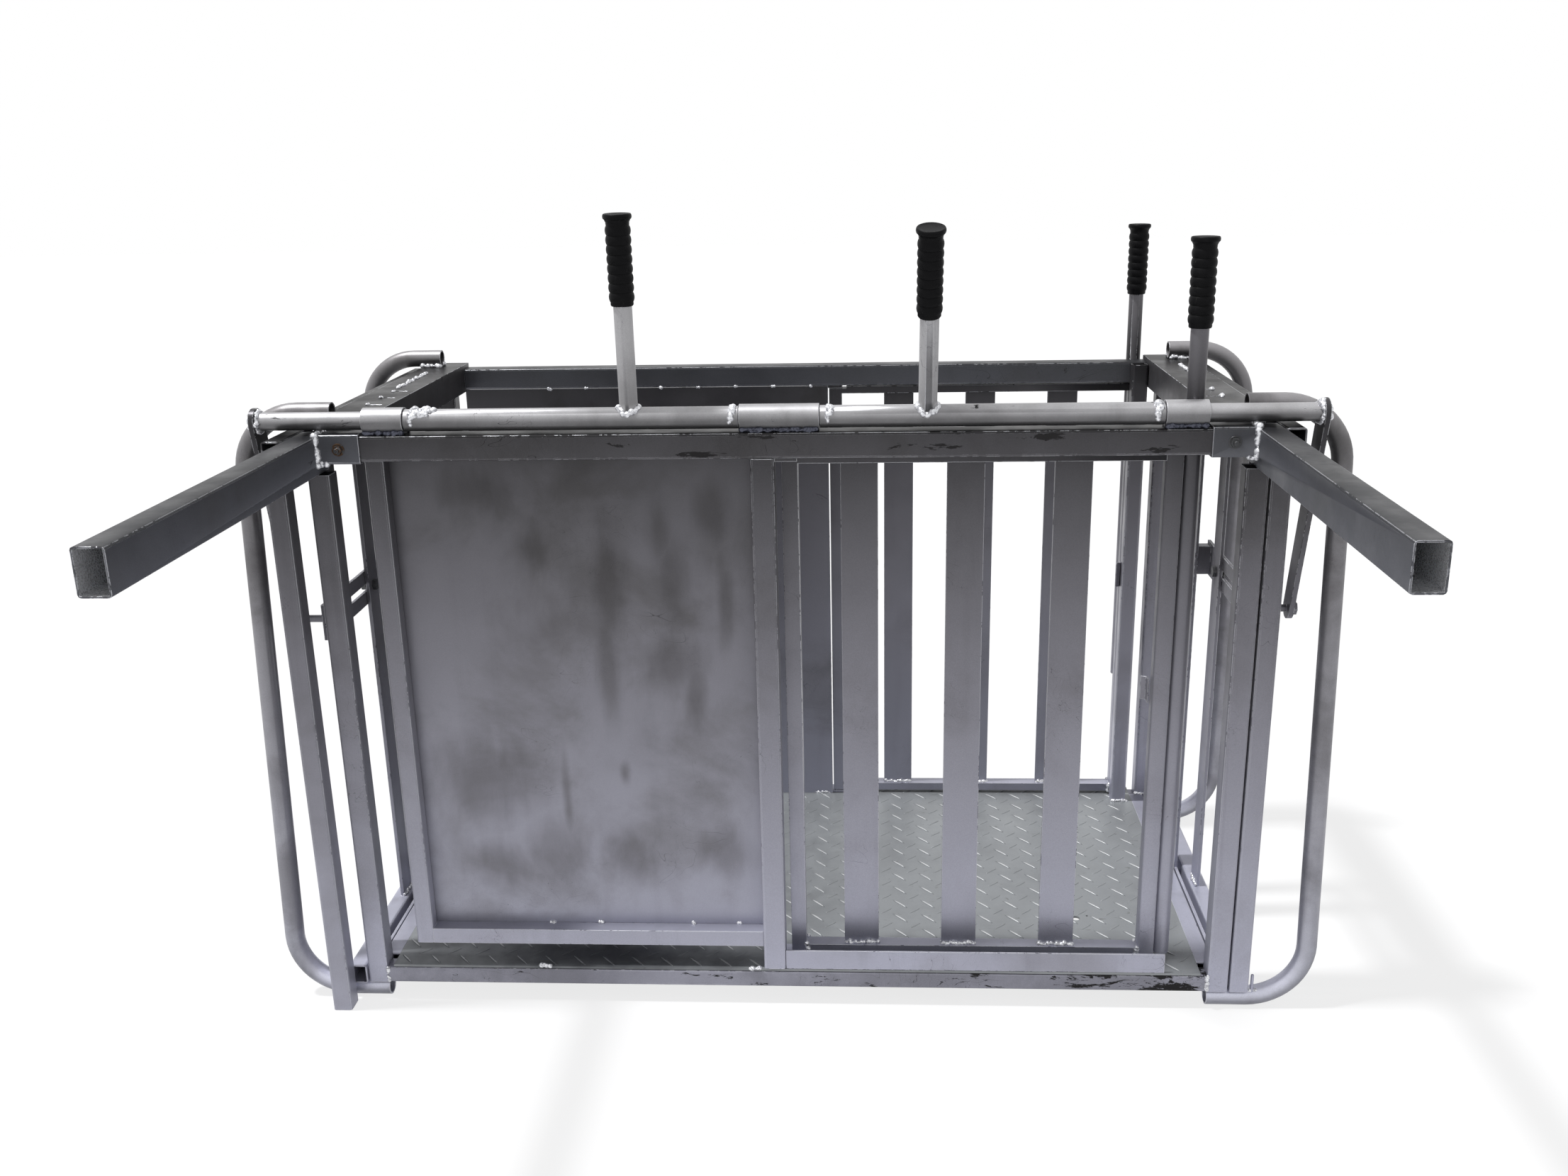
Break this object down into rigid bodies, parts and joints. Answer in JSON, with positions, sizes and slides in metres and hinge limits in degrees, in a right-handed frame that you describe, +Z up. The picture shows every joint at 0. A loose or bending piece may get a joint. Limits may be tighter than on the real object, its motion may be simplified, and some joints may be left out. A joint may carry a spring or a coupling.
{
  "type": "cattle squeeze chute",
  "caption": "Portable steel squeeze and handling crate for calves and sheep: tread floor, sheet and slatted sides, sliding end gates worked by top levers, outrigger arms.",
  "frame": {"origin": "on the ground, under the centre of the bounding box", "axes": "+X along the crate toward the end with the side gates, +Y from the outrigger side to the back, +Z up"},
  "size_m": [1.742, 1.378, 1.3036],
  "materials": {
    "steel": "satin aluminium paint over welded steel, scuffed",
    "sheet": "satin paint on sheet steel, cloudy and stained",
    "tread": "checker plate, worn",
    "bolts": "zinc, slightly rusted",
    "rubber": "matte ribbed rubber"
  },
  "bodies": {
    "frame": {"tread_plate": "tread", "floor_front_rail": "steel", "floor_back_rail": "steel", "front_top_rail": "steel", "back_top_rail": "steel", "left_bearing": "steel", "centre_bearing": "steel", "right_bearing": "steel", "front_centre_post": "steel", "back_centre_post": "steel", "front_panel_frame": "steel", "front_sheet": "sheet", "back_sheet": "sheet", "front_bottom_strip": "steel", "keeper_post": "steel", "front_hinge_rod": "bolts", "back_hinge_rod": "bolts", "left_inner_sill": "steel", "right_inner_sill": "steel", "left_outer_sill": "steel", "right_outer_sill": "steel", "left_guide_bolt": "bolts", "right_guide_bolt": "bolts", "left_front_inner_post": "steel", "right_front_inner_post": "steel", "left_back_inner_post": "steel", "right_back_inner_post": "steel", "left_front_outer_post": "steel", "right_front_outer_post": "steel", "left_back_outer_post": "steel", "right_back_outer_post": "steel", "left_end_angle": "steel", "right_end_angle": "steel", "left_track_channel": "steel", "right_track_channel": "steel", "left_outer_top_rail": "steel", "right_outer_top_rail": "steel", "left_outrigger": "steel", "right_outrigger": "steel", "left_sleeve_bolt": "bolts", "right_sleeve_bolt": "bolts", "left_front_hoop": "steel", "right_front_hoop": "steel", "left_back_hoop": "steel", "right_back_hoop": "steel"},
    "left_lever": {"left_handle_tube": "steel", "left_shaft": "steel", "left_crank": "steel", "left_grip": "rubber"},
    "right_lever": {"right_handle_tube": "steel", "right_shaft": "steel", "right_crank": "steel", "right_grip": "rubber"},
    "left_leaf": {"left_gate_leaf": "steel"},
    "right_leaf": {"right_gate_leaf": "steel"},
    "front_side_gate": {"front_gate": "steel", "front_gate_grip": "rubber"},
    "back_side_gate": {"back_gate": "steel", "back_gate_grip": "rubber"}
  },
  "joints": [
    {"name": "left_lever_turn", "type": "hinge", "parent": "frame", "child": "left_lever", "pos_m": [-0.8, -0.049, 1.0026], "axis": [1, 0, 0], "range_deg": [0, 24]},
    {"name": "left_leaf_slide", "type": "slide", "parent": "frame", "child": "left_leaf", "axis": [0, 1, 0], "range_m": [0, 0.1345]},
    {"name": "right_lever_turn", "type": "hinge", "parent": "frame", "child": "right_lever", "pos_m": [0.8, -0.049, 1.0026], "axis": [1, 0, 0], "range_deg": [0, 22]},
    {"name": "right_leaf_slide", "type": "slide", "parent": "frame", "child": "right_leaf", "axis": [0, 1, 0], "range_m": [0, 0.1205]},
    {"name": "front_gate_swing", "type": "hinge", "parent": "frame", "child": "front_side_gate", "pos_m": [0.0125, -0.0135, 0.0903], "axis": [0, 0, 1], "range_deg": [0, 20]},
    {"name": "back_gate_swing", "type": "hinge", "parent": "frame", "child": "back_side_gate", "pos_m": [0.0675, 0.631, 0.0903], "axis": [0, 0, 1], "range_deg": [0, 25]}
  ],
  "couplings": [
    {"joint": "left_leaf_slide", "follows": "left_lever_turn", "m_per_rad": 0.32},
    {"joint": "right_leaf_slide", "follows": "right_lever_turn", "m_per_rad": 0.3125}
  ]
}
